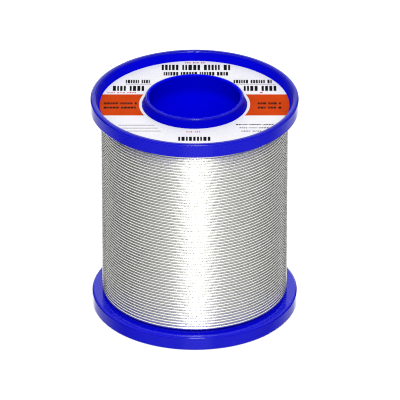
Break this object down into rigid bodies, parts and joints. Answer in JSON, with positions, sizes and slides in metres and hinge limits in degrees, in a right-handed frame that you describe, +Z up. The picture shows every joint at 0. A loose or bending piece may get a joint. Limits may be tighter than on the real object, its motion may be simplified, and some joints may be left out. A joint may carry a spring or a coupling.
{
  "type": "solder wire spool",
  "caption": "Blue plastic spool with two rimmed flanges on a hollow barrel, close wound with silver solder wire, and a paper label ring in its upper flange.",
  "frame": {"origin": "centre of the plane that the lower rim stands on", "axes": "+Z up along the barrel's axis, from the lower flange to the upper one; -Y faces the picture's viewer, and the label reads upright from there"},
  "size_m": [0.07, 0.07, 0.0784],
  "materials": {
    "upper_flange_plastic": "gloss",
    "lower_flange_plastic": "gloss",
    "barrel_plastic": "gloss",
    "label_paper": "satin",
    "inner_wire": "satin",
    "outer_wire": "gloss",
    "end_wire": "gloss",
    "start_wire": "satin",
    "flux_resin": "gloss"
  },
  "bodies": {
    "root": {"upper_flange": "upper_flange_plastic", "lower_flange": "lower_flange_plastic", "barrel_tube": "barrel_plastic", "paper_label": "label_paper", "wire_inner_layers": "inner_wire", "wire_outer_layer": "outer_wire", "wire_last_turn": "end_wire", "wire_start_tail": "start_wire", "flux_cores": "flux_resin"}
  },
  "joints": []
}
